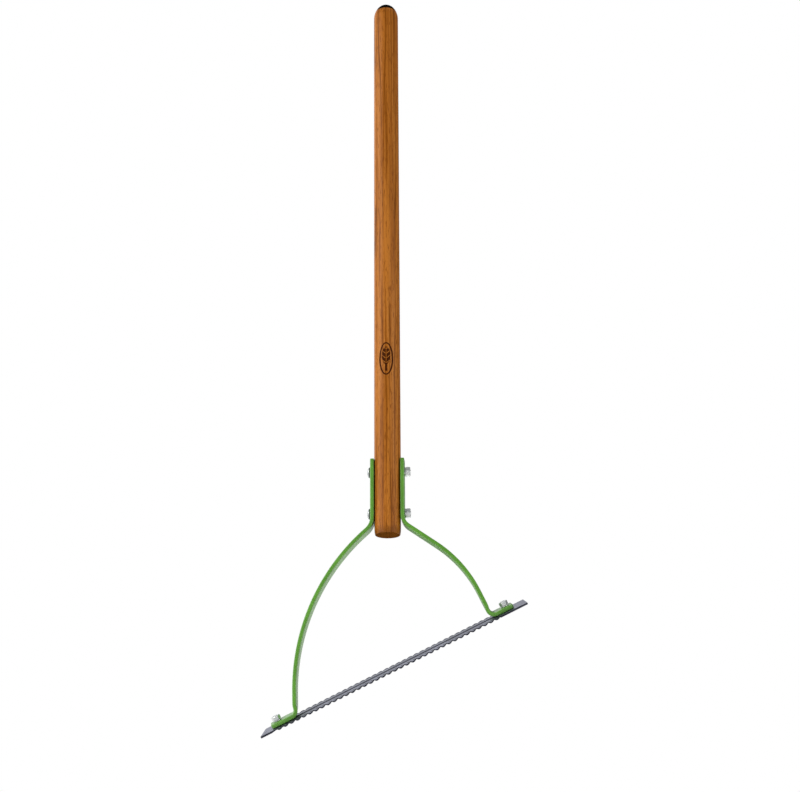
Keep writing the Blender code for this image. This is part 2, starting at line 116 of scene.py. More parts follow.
# Fasteners
HANDLE_FIX = {"radius": 0.125 * INCH, "pitch": INCH / 20, "head_radius": 6.8 * MM,
              "head_height": 4.0 * MM, "neck_side": 0.25 * INCH, "neck_length": 3.2 * MM,
              "protrusion": 0.5 * MM, "nut_flats": 0.4375 * INCH, "nut_height": 5.3 * MM,
              "washer_outer": 6.0 * MM, "washer_thickness": 1.3 * MM}
BLADE_FIX = {"radius": 0.09375 * INCH, "pitch": INCH / 24, "head_radius": 5.6 * MM,
             "head_height": 2.4 * MM, "neck_side": 0.1875 * INCH, "neck_length": 2.0 * MM,
             "protrusion": 0.4 * MM, "nut_flats": 0.375 * INCH, "nut_height": 4.9 * MM,
             "washer_outer": 4.9 * MM, "washer_thickness": 1.1 * MM}
# Share of a bolt head's radius where its painted shade beside the strap starts
RIM_SHADE_FROM = 0.92
HEAD_POINTS, HEAD_STEPS, HEAD_RIM, HEAD_EASE = 48, 12, 0.6 * MM, 0.15 * MM
SHANK_EASE, TIP_CHAMFER, TIP_CENTRE = 0.01 * MM, 0.7 * MM, 0.3 * MM
THREAD_LENGTH, THREAD_CLEAR, THREAD_DEPTH, THREAD_STEPS = 16.0 * MM, 0.3 * MM, 0.54, 8
NUT_POINTS, NUT_FACE, NUT_CORNER = 96, 0.95, 1.1447
NUT_LEAD, NUT_EASE, BORE_EASE = 0.5 * MM, 0.12 * MM, 0.05 * MM
NUT_CHAMFER = math.radians(28.0)
WASHER_STEPS, WASHER_BORE_EASE, WASHER_EDGE = 64, 0.4 * MM, 0.22 * MM
WASHER_SPLIT, WASHER_SLANT = math.radians(14.0), 0.10
UPPER_BOLT_Z = 81.0 * MM
LOWER_BOLT_Z = 27.5 * MM
BLADE_BOLT_INSET = 25.0 * MM

# Studio
DIM_SURROUNDINGS = 0.14
SURROUNDINGS_TINT = (0.98, 0.99, 1.0, 1.0)
FLOOR_REACH = 2.2
FLOOR_Z = -0.62
LIGHT_TARGET = (0.0, 0.0, 0.15)
# Name, place, target, size, power and colour
LIGHTS = (("key", (-2.6, -1.6, 1.1), LIGHT_TARGET, 3.0, 102.0, (1.0, 0.985, 0.95)),
          ("fill", (2.5, -1.5, 0.4), LIGHT_TARGET, 3.0, 50.0, (1.0, 0.98, 0.95)),
          ("sweep", (0.2, 1.3, 1.0), (0.2, 3.4, FLOOR_Z), 2.0, 60.0, (1.0, 1.0, 1.0)))
CAMERA_PLACE = Vector((0.1472, -1.838, -0.4793))
CAMERA_TOWARDS = Vector((-0.0669, 0.93884, 0.3378))
CAMERA_ROLL = math.radians(-0.367)
CAMERA_LENS = 69.3
SENSOR_WIDTH = 36.0
# Direction, the cosines where the glow starts and is full, and strength
SOFT_SOURCES = (((0.15, 0.98, -0.10), 0.90, 0.965, 0.80),
                ((-0.55, 0.68, 0.48), 0.78, 0.92, 0.85), ((0.0, 0.0, 1.0), 0.60, 0.92, 0.20))

ALONG = Vector((math.cos(BLADE_TILT), 0.0, math.sin(BLADE_TILT)))
UPRIGHT = Vector((-math.sin(BLADE_TILT), 0.0, math.cos(BLADE_TILT)))
BACKWARD = Vector((0.0, 1.0, 0.0))
BLADE_UP = UPRIGHT * math.cos(BLADE_RAKE) - BACKWARD * math.sin(BLADE_RAKE)
BLADE_ACROSS = BACKWARD * math.cos(BLADE_RAKE) + UPRIGHT * math.sin(BLADE_RAKE)
STRAP_INNER = HANDLE_RADIUS - SEAT_DEPTH + GAP
FOOT_LIFT = 0.5 * (STRAP_THICKNESS + BLADE_THICKNESS) + GAP
FOOT_CENTRE = Vector((BLADE_CENTRE_X, 0.0, BLADE_CENTRE_Z))
BLADE_CENTRE = FOOT_CENTRE - BLADE_UP * FOOT_LIFT


# ---- Materials ----

class Tree:
    """Short calls for building a material's nodes."""

    def __init__(self, name):
        self.material = bpy.data.materials.new(name)
        self.material.use_nodes = True
        self.nodes = self.material.node_tree.nodes
        self.links = self.material.node_tree.links
        self.shader = self.nodes["Principled BSDF"]

    def node(self, kind, inputs=None, **settings):
        made = self.nodes.new(kind)
        for key, value in settings.items():
            setattr(made, key, value)
        for key, value in (inputs or {}).items():
            self.feed(made.inputs[key], value)
        return made

    def feed(self, socket, value):
        if isinstance(value, bpy.types.NodeSocket):
            self.links.new(value, socket)
        else:
            socket.default_value = value

    def place(self):
        return self.node("ShaderNodeTexCoord").outputs["Object"]

    def stretch(self, vector, scale, offset=(0.0, 0.0, 0.0), turn=(0.0, 0.0, 0.0)):
        made = self.node("ShaderNodeMapping", {"Vector": vector, "Scale": scale,
                                               "Location": offset, "Rotation": turn})
        return made.outputs["Vector"]

    def noise(self, vector, scale=1.0, detail=3.0, roughness=0.5, distortion=0.0):
        made = self.node("ShaderNodeTexNoise", {
            "Vector": vector, "Scale": scale, "Detail": detail,
            "Roughness": roughness, "Distortion": distortion})
        return made.outputs["Fac"]

    def maths(self, operation, first, second=0.0, third=0.0, clamp=False):
        made = self.node("ShaderNodeMath", {0: first, 1: second, 2: third},
                         operation=operation, use_clamp=clamp)
        return made.outputs[0]

    def span(self, value, low, high, to_low=0.0, to_high=1.0):
        """Map low..high to to_low..to_high with a smooth ease."""
        made = self.node("ShaderNodeMapRange", {
            "Value": value, "From Min": low, "From Max": high,
            "To Min": to_low, "To Max": to_high}, interpolation_type="SMOOTHSTEP")
        return made.outputs["Result"]

    def mix(self, share, first, second, blend="MIX"):
        made = self.node("ShaderNodeMix", data_type="RGBA", blend_type=blend)
        self.feed(made.inputs["Factor"], share)
        for index, value in ((6, first), (7, second)):
            if isinstance(value, tuple):
                value = (*value, 1.0)
            self.feed(made.inputs[index], value)
        return made.outputs[2]

    def axes(self, vector):
        return self.node("ShaderNodeSeparateXYZ", {"Vector": vector}).outputs

    def bump(self, height, strength, distance, normal=None):
        inputs = {"Height": height, "Strength": strength, "Distance": distance}
        if normal is not None:
            inputs["Normal"] = normal
        return self.node("ShaderNodeBump", inputs).outputs["Normal"]

    def finish(self, **inputs):
        for key, value in inputs.items():
            name = key.replace("_", " ")
            if isinstance(value, tuple):
                value = (*value, 1.0)
            self.feed(self.shader.inputs[name], value)
        return self.material


def wood_material():
    """Stained, lacquered hardwood with a black dipped tip and a burned emblem."""
    t = Tree("lacquered_hardwood")
    place = t.place()
    x, y, z = t.axes(place)
    colour, grain = wood_grain(t, place)
    # darker towards the lower end
    end_dark = t.span(z, 13.0 * MM, 0.2 * MM, 0.0, 0.55)
    colour = t.mix(end_dark, colour, (0.11, 0.032, 0.005))
    # burned emblem
    burn = emblem_mask(t, x, y, z)
    colour = t.mix(t.maths("MULTIPLY", burn, 0.97), colour, (0.052, 0.012, 0.003))
    # dipped tip
    edge = t.maths("MULTIPLY_ADD", t.noise(t.stretch(place, (60.0, 60.0, 12.0))), 1.2 * MM,
                   HANDLE_LENGTH - DIP_HEIGHT - 0.6 * MM)
    dip = t.span(t.maths("SUBTRACT", z, edge), -0.15 * MM, 0.15 * MM)
    colour = t.mix(dip, colour, (0.002, 0.002, 0.002))
    height = t.maths("MULTIPLY", grain, t.maths("SUBTRACT", 1.0, dip))
    rough = t.maths("MULTIPLY_ADD", dip, 0.20, t.maths("MULTIPLY_ADD", grain, -0.08, 0.42))
    bare = t.maths("SUBTRACT", 1.0, t.maths("MAXIMUM", dip, burn))
    shine = t.maths("MULTIPLY_ADD", bare, 0.06, 0.01)
    normal = t.bump(height, 0.30, 0.12 * MM)
    normal = t.bump(t.maths("MULTIPLY", burn, -1.0), 0.8, 0.25 * MM, normal)
    normal = t.bump(dip, 0.6, 0.12 * MM, normal)
    return t.finish(Base_Color=colour, Roughness=rough, Normal=normal,
                    Coat_Weight=shine, Coat_Roughness=0.20, Specular_IOR_Level=shine)


def wood_grain(t, place):
    """Return the grain's colour and its height, lower in the open pores."""
    x, y, _ = t.axes(place)
    # growth rings cut lengthwise, which wander and come and go along the handle
    sway = t.noise(t.stretch(place, (62.0, 62.0, 2.6)), 1.0, 2.0, 0.5)
    reach = t.maths("MULTIPLY_ADD", x, 0.97, t.maths("MULTIPLY", y, 0.24))
    ring_at = t.maths("MULTIPLY_ADD", sway, 0.018, reach)
    ring = t.maths("FRACT", t.maths("MULTIPLY", ring_at, 165.0))
    line = t.maths("MULTIPLY", t.span(ring, 0.66, 0.88), t.span(ring, 1.0, 0.94))
    comes = t.span(t.noise(t.stretch(place, (80.0, 80.0, 7.0), (3.0, 1.0, 2.0))), 0.40, 0.54)
    line = t.maths("MULTIPLY", line, comes)
    broad = t.noise(t.stretch(place, (110.0, 110.0, 4.0)), 1.0, 3.0, 0.55)
    streak = t.noise(t.stretch(place, (400.0, 400.0, 6.0)), 1.0, 4.0, 0.6, 0.3)
    fleck = t.noise(t.stretch(place, (850.0, 850.0, 85.0)), 1.0, 3.0, 0.6)
    pore = t.noise(t.stretch(place, (2400.0, 2400.0, 130.0)), 1.0, 2.0, 0.6)
    colour = t.mix(t.span(broad, 0.34, 0.66), (0.385, 0.122, 0.013), (0.52, 0.182, 0.026))
    colour = t.mix(t.span(streak, 0.46, 0.30, 0.0, 0.55), colour, (0.60, 0.24, 0.055))
    colour = t.mix(t.span(streak, 0.55, 0.64, 0.0, 0.85), colour, (0.24, 0.066, 0.003))
    colour = t.mix(t.maths("MULTIPLY", line, 0.90), colour, (0.185, 0.052, 0.002))
    colour = t.mix(t.span(fleck, 0.55, 0.63, 0.0, 0.66), colour, (0.18, 0.046, 0.003))
    colour = t.mix(t.span(pore, 0.60, 0.72, 0.0, 0.45), colour, (0.12, 0.030, 0.004))
    grain = t.maths("MULTIPLY_ADD", line, -0.35, t.span(pore, 0.72, 0.55))
    return colour, grain


def end_grain_material():
    """Bare sawn end grain, with the ends of the growth rings and soaked-in stain."""
    t = Tree("end_grain")
    place = t.place()
    x, y, _ = t.axes(place)
    bent = t.maths("MULTIPLY_ADD", t.maths("MULTIPLY", y, y), 9.0, t.maths("MULTIPLY", x, 0.84))
    waver = t.noise(place, 120.0, 2.0)
    at = t.maths("MULTIPLY_ADD", waver, 0.0012, t.maths("MULTIPLY_ADD", y, 0.54, bent))
    ring = t.maths("FRACT", t.maths("MULTIPLY", at, 420.0))
    late = t.maths("MULTIPLY", t.span(ring, 0.35, 0.90), t.span(ring, 1.0, 0.90))
    pore = t.noise(place, 2600.0, 2.0)
    colour = t.mix(t.noise(place, 160.0, 3.0), (0.13, 0.042, 0.005), (0.22, 0.072, 0.009))
    colour = t.mix(t.maths("MULTIPLY", late, 0.55), colour, (0.055, 0.017, 0.004))
    colour = t.mix(t.span(pore, 0.60, 0.72, 0.0, 0.6), colour, (0.03, 0.010, 0.003))
    normal = t.bump(t.maths("MULTIPLY_ADD", late, -0.4, t.maths("MULTIPLY", pore, -0.6)),
                    0.5, 0.15 * MM)
    return t.finish(Base_Color=colour, Roughness=0.80, Normal=normal, Specular_IOR_Level=0.0)


def emblem_mask(t, x, y, z):
    """Return 1 where the burned emblem is: a leaf on a stalk in an oval ring."""
    turned = t.maths("ARCTAN2", x, t.maths("MULTIPLY", y, -1.0))
    u = t.maths("MULTIPLY", turned, HANDLE_RADIUS)
    v = t.maths("SUBTRACT", z, EMBLEM_Z)

    def oval(shift_u, shift_v, half_u, half_v):
        a = t.maths("DIVIDE", t.maths("SUBTRACT", u, shift_u), half_u)
        b = t.maths("DIVIDE", t.maths("SUBTRACT", v, shift_v), half_v)
        return t.maths("SQRT", t.maths("ADD", t.maths("MULTIPLY", a, a),
                                       t.maths("MULTIPLY", b, b)))

    outer = oval(0.0, 0.0, 9.6 * MM, 22.6 * MM)
    inner = oval(0.0, 0.0, 7.0 * MM, 20.0 * MM)
    ring = t.maths("MULTIPLY", t.span(outer, 1.0, 0.97), t.span(inner, 1.0, 1.04))
    leaf = t.maths("MAXIMUM", oval(-3.2 * MM, 4.0 * MM, 8.9 * MM, 14.5 * MM),
                   oval(3.2 * MM, 4.0 * MM, 8.9 * MM, 14.5 * MM))
    blade = t.span(leaf, 1.0, 0.95)
    across = t.maths("ABSOLUTE", u)
    vein = t.span(across, 0.60 * MM, 0.45 * MM)
    rib_at = t.maths("MULTIPLY_ADD", across, -0.9, v)
    rib = t.span(t.maths("PINGPONG", rib_at, 3.2 * MM), 0.70 * MM, 0.45 * MM)
    below = t.span(t.maths("ABSOLUTE", t.maths("ADD", v, 11.5 * MM)), 5.6 * MM, 5.4 * MM)
    stalk = t.maths("MULTIPLY", t.span(across, 1.5 * MM, 1.3 * MM), below)
    light = t.maths("MAXIMUM", vein, rib)
    cut = t.maths("MULTIPLY", blade, t.maths("SUBTRACT", 1.0, light))
    mark = t.maths("MAXIMUM", ring, t.maths("MAXIMUM", cut, stalk))
    facing = t.span(y, 0.0, -2.0 * MM)
    worn = t.noise(t.stretch(t.place(), (700.0, 700.0, 300.0)), 1.0, 2.0)
    return t.maths("MULTIPLY", t.maths("MULTIPLY", mark, facing), t.span(worn, 0.16, 0.28))


def paint_material():
    """Glossy green enamel with a painted highlight along the arrises, chipped in a few places."""
    t = Tree("green_enamel")
    place = t.place()
    arris = t.node("ShaderNodeAttribute", attribute_name="arris").outputs["Fac"]
    tone = t.noise(place, 38.0, 3.0)
    fine = t.noise(place, 900.0, 2.0)
    chip_at = t.noise(place, 260.0, 4.0, 0.65)
    colour = t.mix(t.span(tone, 0.35, 0.65), (0.096, 0.296, 0.026), (0.118, 0.350, 0.034))
    # painted highlight: the arrises are made a lighter green
    colour = t.mix(t.maths("MULTIPLY", arris, 0.30), colour, (0.19, 0.48, 0.09))
    chip = t.maths("MULTIPLY", t.span(chip_at, 0.71, 0.74), t.span(arris, 0.35, 0.75))
    colour = t.mix(chip, colour, (0.10, 0.105, 0.10))
    normal = t.bump(t.maths("MULTIPLY", chip, -1.0), 0.5, 0.05 * MM)
    rough = t.maths("MULTIPLY_ADD", chip, 0.2, t.maths("MULTIPLY_ADD", fine, 0.10, 0.36))
    metal = t.maths("MULTIPLY", chip, 0.8)
    return t.finish(Base_Color=colour, Roughness=rough, Normal=normal, Metallic=metal,
                    Coat_Weight=0.40, Coat_Roughness=0.20)


def blade_material(ground):
    """Tempered blade steel, either as rolled or brightened by the grinding wheel."""
    t = Tree("ground_steel" if ground else "tempered_steel")
    turn = (0.0, BLADE_TILT, 0.0)
    place = t.stretch(t.place(), (1.0, 1.0, 1.0), turn=turn)
    cloud = t.noise(place, 55.0, 4.0, 0.6)
    spot = t.noise(place, 420.0, 3.0, 0.6)
    if ground:
        lines = t.noise(t.stretch(place, (2600.0, 160.0, 160.0), turn=(0.0, 0.0, 0.5)), 1.0, 3.0)
        colour = t.mix(t.span(cloud, 0.3, 0.7), (0.17, 0.178, 0.235), (0.29, 0.30, 0.38))
        colour = t.mix(t.span(spot, 0.58, 0.68, 0.0, 0.35), colour, (0.17, 0.17, 0.20))
        # painted shade: the ground hollows between the teeth are darkened
        hollow_shade = t.node("ShaderNodeAttribute", attribute_name="hollow_shade").outputs["Fac"]
        colour = t.mix(t.span(hollow_shade, 0.12, 0.60, 0.0, 0.88), colour, (0.030, 0.032, 0.046))
        rough = t.maths("MULTIPLY_ADD", lines, 0.22, 0.30)
        normal = t.bump(lines, 0.25, 0.05 * MM)
    else:
        lines = t.noise(t.stretch(place, (60.0, 1500.0, 1500.0)), 1.0, 3.0)
        colour = t.mix(t.span(cloud, 0.3, 0.7), (0.020, 0.022, 0.036), (0.046, 0.049, 0.074))
        colour = t.mix(t.span(spot, 0.60, 0.70, 0.0, 0.5), colour, (0.025, 0.025, 0.032))
        rough = t.maths("MULTIPLY_ADD", cloud, 0.20, 0.45)
        normal = t.bump(lines, 0.22, 0.06 * MM)
    return t.finish(Base_Color=colour, Roughness=rough, Normal=normal,
                    Metallic=0.92 if ground else 0.45, Specular_IOR_Level=0.4)


def zinc_material():
    """Bright zinc plate with a faint mottle and a painted shade on the bolt heads' rims."""
    t = Tree("bright_zinc")
    place = t.place()
    mottle = t.noise(place, 700.0, 3.0, 0.6)
    cloud = t.noise(place, 160.0, 2.0)
    rim_shade = t.node("ShaderNodeAttribute", attribute_name="rim_shade").outputs["Fac"]
    colour = t.mix(t.span(cloud, 0.35, 0.65), (0.66, 0.70, 0.72), (0.78, 0.80, 0.79))
    colour = t.mix(t.span(mottle, 0.58, 0.70, 0.0, 0.5), colour, (0.40, 0.42, 0.44))
    # painted shade: a bolt head's rim beside the strap is darkened and made less metallic
    colour = t.mix(t.maths("MULTIPLY", rim_shade, 0.92), colour, (0.035, 0.04, 0.035))
    rough = t.maths("MULTIPLY_ADD", mottle, 0.22, 0.12)
    normal = t.bump(mottle, 0.12, 0.05 * MM)
    metal = t.maths("MULTIPLY_ADD", rim_shade, -0.4, 0.75)
    return t.finish(Base_Color=colour, Roughness=rough, Normal=normal, Metallic=metal)


def floor_material():
    """Pale matt studio floor."""
    t = Tree("studio_floor")
    tone = t.noise(t.place(), 3.0, 3.0)
    colour = t.mix(tone, (0.84, 0.84, 0.84), (0.88, 0.88, 0.88))
    return t.finish(Base_Color=colour, Roughness=0.7)


# ---- Mesh helpers ----

def make_piece(name, verts, faces, materials, node, sharp=35.0, slots=None, values=None):
    """Make a shaded piece from points and faces, and let it stand for a CAD node."""
    mesh = bpy.data.meshes.new(name)
    mesh.from_pydata([tuple(v) for v in verts], [], faces)
    for material in materials:
        mesh.materials.append(material)
    if slots is not None:
        mesh.polygons.foreach_set("material_index", slots)
    for key, numbers in (values or {}).items():
        mesh.attributes.new(key, "FLOAT", "POINT").data.foreach_set("value", numbers)
    mesh.update()
    if mesh_volume(mesh) < 0.0:
        mesh.flip_normals()
    mesh.shade_smooth()
    mesh.set_sharp_from_angle(angle=math.radians(sharp))
    piece = bpy.data.objects.new(name, mesh)
    bpy.context.scene.collection.objects.link(piece)
    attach(piece, "root")
    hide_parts(node)
    return piece


def mesh_volume(mesh):
    """Return the signed volume, negative where the faces turn inwards."""
    mesh.calc_loop_triangles()
    total = 0.0
    for tri in mesh.loop_triangles:
        a, b, c = (mesh.vertices[i].co for i in tri.vertices)
        total += a.dot(b.cross(c))
    return total


def tube_faces(rings, around, closed=False):
    """Return the quads between rings, and the two end caps of an open tube."""
    faces = []
    for r in range(rings if closed else rings - 1):
        here, there = r * around, ((r + 1) % rings) * around
        for k in range(around):
            n = (k + 1) % around
            faces.append((here + k, here + n, there + n, there + k))
    if not closed:
        faces.append(tuple(range(around)))
        faces.append(tuple(reversed(range((rings - 1) * around, rings * around))))
    return faces


def frame_matrix(origin, x_axis, y_axis, z_axis):
    """Return the matrix that takes local axes to the given ones."""
    rotation = Matrix((x_axis, y_axis, z_axis)).transposed()
    return Matrix.Translation(origin) @ rotation.to_4x4()


# ---- Handle ----

def handle_profile():
    """Return (radius, height) from the lower end's middle to the dome's top."""
    end_radius = HANDLE_RADIUS - END_EASE_DEPTH
    flat = end_radius - END_ROUND
    points = [(flat * share, 0.0) for share in END_RING_SHARES]
    for step in range(END_STEPS + 1):
        angle = 0.5 * math.pi * step / END_STEPS
        points.append((flat + END_ROUND * math.sin(angle),
                       END_ROUND * (1.0 - math.cos(angle))))
    for step in range(1, END_STEPS + 1):
        share = step / END_STEPS
        points.append((HANDLE_RADIUS - END_EASE_DEPTH * (1.0 - share) ** 2,
                       END_ROUND + share * (END_EASE_HEIGHT - END_ROUND)))
    seat = [END_EASE_HEIGHT + (SEAT_TOP - END_EASE_HEIGHT) * k / SEAT_STEPS
            for k in range(1, SEAT_STEPS + 1)]
    dome_base = HANDLE_LENGTH - DOME_HEIGHT
    shaft = [SEAT_TOP + 0.5 * MM + (dome_base - SEAT_TOP) * k / SHAFT_STEPS
             for k in range(SHAFT_STEPS)]
    points += [(HANDLE_RADIUS, height) for height in seat + shaft]
    for step in range(DOME_STEPS + 1):
        angle = 0.5 * math.pi * step / DOME_REACH
        points.append((HANDLE_RADIUS * math.cos(angle),
                       dome_base + DOME_HEIGHT * math.sin(angle)))
    return points


def build_handle(wood, sawn):
    """Turn the handle and flatten its two seats."""
    flat = HANDLE_RADIUS - SEAT_DEPTH
    seat_angle = math.acos(flat / HANDLE_RADIUS)
    rise = [-seat_angle + 2.0 * seat_angle * k / SEAT_POINTS for k in range(SEAT_POINTS)]
    sweep = [seat_angle + (math.pi - 2.0 * seat_angle) * k / SIDE_POINTS
             for k in range(SIDE_POINTS)]
    angles = rise + sweep
    angles += [angle + math.pi for angle in angles]
    verts = []
    profile = handle_profile()
    for radius, height in profile:
        for angle in angles:
            across = radius * math.cos(angle)
            if height <= SEAT_TOP:
                across = max(-flat, min(flat, across))
            verts.append((across, radius * math.sin(angle), height))
    around = len(angles)
    slots = [1 if ring < SAWN_RINGS else 0 for ring in range(len(profile) - 1)
             for _ in range(around)] + [1, 0]
    return make_piece("turned_handle", verts, tube_faces(len(profile), around),
                      [wood, sawn], "handle", sharp=28.0, slots=slots)


# ---- Straps ----

def walk(start, heading, legs):
    """Follow straight and curved legs in the XZ plane.

    The heading is the angle from straight down towards the arm's own side. A leg is
    (length, turn, steps). Returns (place, heading, distance) stations.
    """
    stations = [(start.copy(), heading, 0.0)]
    place = start.copy()
    distance = 0.0
    for length, turn, steps in legs:
        for _ in range(steps if length > 0.0 else 0):
            middle = heading + 0.5 * turn / steps
            half_turn = 0.5 * abs(turn) / steps
            chord = length / steps
            if half_turn > 0.0:
                chord *= math.sin(half_turn) / half_turn
            place = place + chord * Vector((math.sin(middle), -math.cos(middle)))
            heading += turn / steps
            distance += length / steps
            stations.append((place.copy(), heading, distance))
    return stations


def arm_stations(side, arm):
    """Return one strap's stations and where its foot bend starts and ends."""
    bend_angle, sweep_angle = arm["bend_angle"], arm["sweep_angle"]
    foot_heading = 0.5 * math.pi + side * BLADE_TILT
    arrive = bend_angle - sweep_angle
    foot_turn = foot_heading - arrive
    upper = [(STRAP_TOP - arm["bend_start"], 0.0, CLAMP_STEPS),
             (arm["bend_radius"] * bend_angle, bend_angle, BEND_STEPS),
             (arm["upper_run"], 0.0, RUN_STEPS),
             (arm["sweep_radius"] * sweep_angle, -sweep_angle, SWEEP_STEPS)]
    bend = [(FOOT_BEND_RADIUS * foot_turn, foot_turn, FOOT_BEND_STEPS)]
    start = Vector((STRAP_INNER + 0.5 * STRAP_THICKNESS, STRAP_TOP))
    foot_line = Vector((side * FOOT_CENTRE.x, FOOT_CENTRE.z))
    along_foot = Vector((math.sin(foot_heading), -math.cos(foot_heading)))
    across_foot = Vector((math.cos(foot_heading), math.sin(foot_heading)))
    shortfall = (foot_line - walk(start, 0.0, upper + bend)[-1][0]).dot(across_foot)
    run_step = Vector((math.sin(arrive), -math.cos(arrive))).dot(across_foot)
    reach = upper + [(shortfall / run_step, 0.0, REACH_STEPS)] + bend
    bent, _, bend_end = walk(start, 0.0, reach)[-1]
    foot_end = 0.5 * BLADE_LENGTH - FOOT_INSET
    foot_length = foot_end - (bent - foot_line).dot(along_foot)
    stations = walk(start, 0.0, reach + [(foot_length, 0.0, FOOT_STEPS)])
    return stations, bend_end - FOOT_BEND_RADIUS * foot_turn, bend_end


def round_section(half_through, half_across, radius):
    """Return a rounded section's (through, across, arris) points."""
    points = []
    corners = ((1, 1, 0.0), (-1, 1, 0.5), (-1, -1, 1.0), (1, -1, 1.5))
    for sign_t, sign_a, start in corners:
        for step in range(CORNER_STEPS + 1):
            angle = math.pi * (start + 0.5 * step / CORNER_STEPS)
            points.append((sign_t * (half_through - radius) + radius * math.cos(angle),
                           sign_a * (half_across - radius) + radius * math.sin(angle),
                           1.0 - abs(step - 2) / 2))
        if start in (0.0, 1.0):
            continue
        inset = half_across - radius
        for share in (0.5, 0.0, -0.5):
            points.append((sign_t * half_through, sign_a * share * inset, 0.0))
    return points


def end_inset(distance, total, radius):
    """Return how far a rounded end is drawn in at a distance from it."""
    short = radius - min(radius, distance, total - distance)
    return radius - math.sqrt(max(0.0, radius ** 2 - short ** 2))


def smooth_share(distance, start, end):
    """Return a smooth 0 to 1 between two distances."""
    t = min(1.0, max(0.0, (distance - start) / (end - start)))
    return t * t * (3.0 - 2.0 * t)


def with_ends(stations):
    """Add close stations where the strap's ends round off."""
    total = stations[-1][2]
    extra = [STRAP_CORNER * (1.0 - math.cos(0.5 * math.pi * k / END_ROUND_STEPS))
             for k in range(1, END_ROUND_STEPS + 1)]
    first, last = stations[0], stations[-1]
    down = Vector((math.sin(first[1]), -math.cos(first[1])))
    away = Vector((math.sin(last[1]), -math.cos(last[1])))
    head = [(first[0] + down * e, first[1], e) for e in extra]
    tail = [(last[0] - away * e, last[1], total - e) for e in reversed(extra)]
    inner = [s for s in stations[1:-1] if extra[-1] < s[2] < total - extra[-1]]
    return [first] + head + inner + tail + [last]


def build_strap(name, side, arm, node, material):
    """Sweep the rounded flat bar along the arm."""
    stations, bend_start, bend_end = arm_stations(side, arm)
    stations = with_ends(stations)
    total = stations[-1][2]
    verts, arris = [], []
    for place, heading, distance in stations:
        centre = Vector((side * place.x, 0.0, place.y))
        inward = Vector((-side * math.cos(heading), 0.0, -math.sin(heading)))
        turn = BLADE_RAKE * smooth_share(distance, bend_start - TWIST_LEAD, bend_end)
        through = inward * math.cos(turn) + BACKWARD * math.sin(turn)
        across = BACKWARD * math.cos(turn) - inward * math.sin(turn)
        drawn = end_inset(distance, total, STRAP_CORNER)
        eased = end_inset(distance, total, STRAP_EDGE)
        section = round_section(0.5 * STRAP_THICKNESS - eased,
                                0.5 * STRAP_WIDTH - max(drawn, eased), STRAP_EDGE - 0.9 * eased)
        for t, w, bare in section:
            verts.append(centre + through * t + across * w)
            # the arris share marks edges and strap ends, where the paint gets its painted
            # highlight and its chips
            arris.append(max(bare, 1.0 - min(distance, total - distance) / ARRIS_REACH))
    faces = tube_faces(len(stations), len(section))
    return make_piece(name, verts, faces, [material], node, sharp=50.0,
                      values={"arris": arris})


# ---- Blade ----

def tooth_lobe(distance):
    """Return how far a tooth stands out, 0 in the notch and 1 at its rounded point."""
    if distance <= 0.0 or distance >= TOOTH_COUNT * TOOTH_PITCH:
        return None
    phase = (distance / TOOTH_PITCH) % 1.0
    if phase < TOOTH_PEAK:
        return math.sin(0.5 * math.pi * phase / TOOTH_PEAK)
    return math.sin(0.5 * math.pi * (1.0 - phase) / (1.0 - TOOTH_PEAK))


def half_section(lobe, wave):
    """Return one side's (across, up) points from the edge inwards, top then bottom."""
    half_width = 0.5 * BLADE_WIDTH
    half = 0.5 * BLADE_THICKNESS
    rib = 0.5 * RIB_WIDTH
    flute = half_width - FLUTE_WIDTH
    grind, notch, drop, raised = 0.0, 0.0, 0.0, 0.0
    if lobe is not None:
        grind = GRIND_DEPTH
        notch = TOOTH_DEPTH * (1.0 - lobe)
        drop = wave * (lobe - WAVE_REST)
        raised = FLUTE_DEPTH * (1.0 - lobe)
    edge = half_width - notch
    top = []
    for step in range(TOP_STEPS + 1):
        share = step / TOP_STEPS
        sag = drop * (1.0 - share) ** WAVE_FALL
        top.append((edge + (flute - edge) * share, half - grind - sag))
    top += [(rib + SHOULDER_WIDTH, half - grind), (rib, half)]
    bottom = [(edge, -half + raised - drop)]
    for step in range(1, BOTTOM_STEPS + 1):
        share = step / BOTTOM_STEPS
        bottom.append((edge + (flute - edge) * share,
                       -half + (raised - drop) * (1.0 - share) ** 2))
    return top, bottom


def blade_section(along):
    """Return the section's points at one place, as (across, up), all the way round."""
    half_length = 0.5 * BLADE_LENGTH
    near_top, near_bottom = half_section(tooth_lobe(along + half_length - PLAIN_LEFT), NEAR_WAVE)
    far_top, far_bottom = half_section(tooth_lobe(half_length - PLAIN_RIGHT - along), FAR_WAVE)
    near = [(-across, up) for across, up in reversed(near_bottom)]
    near += [(-across, up) for across, up in near_top]
    return near + far_top[::-1] + far_bottom


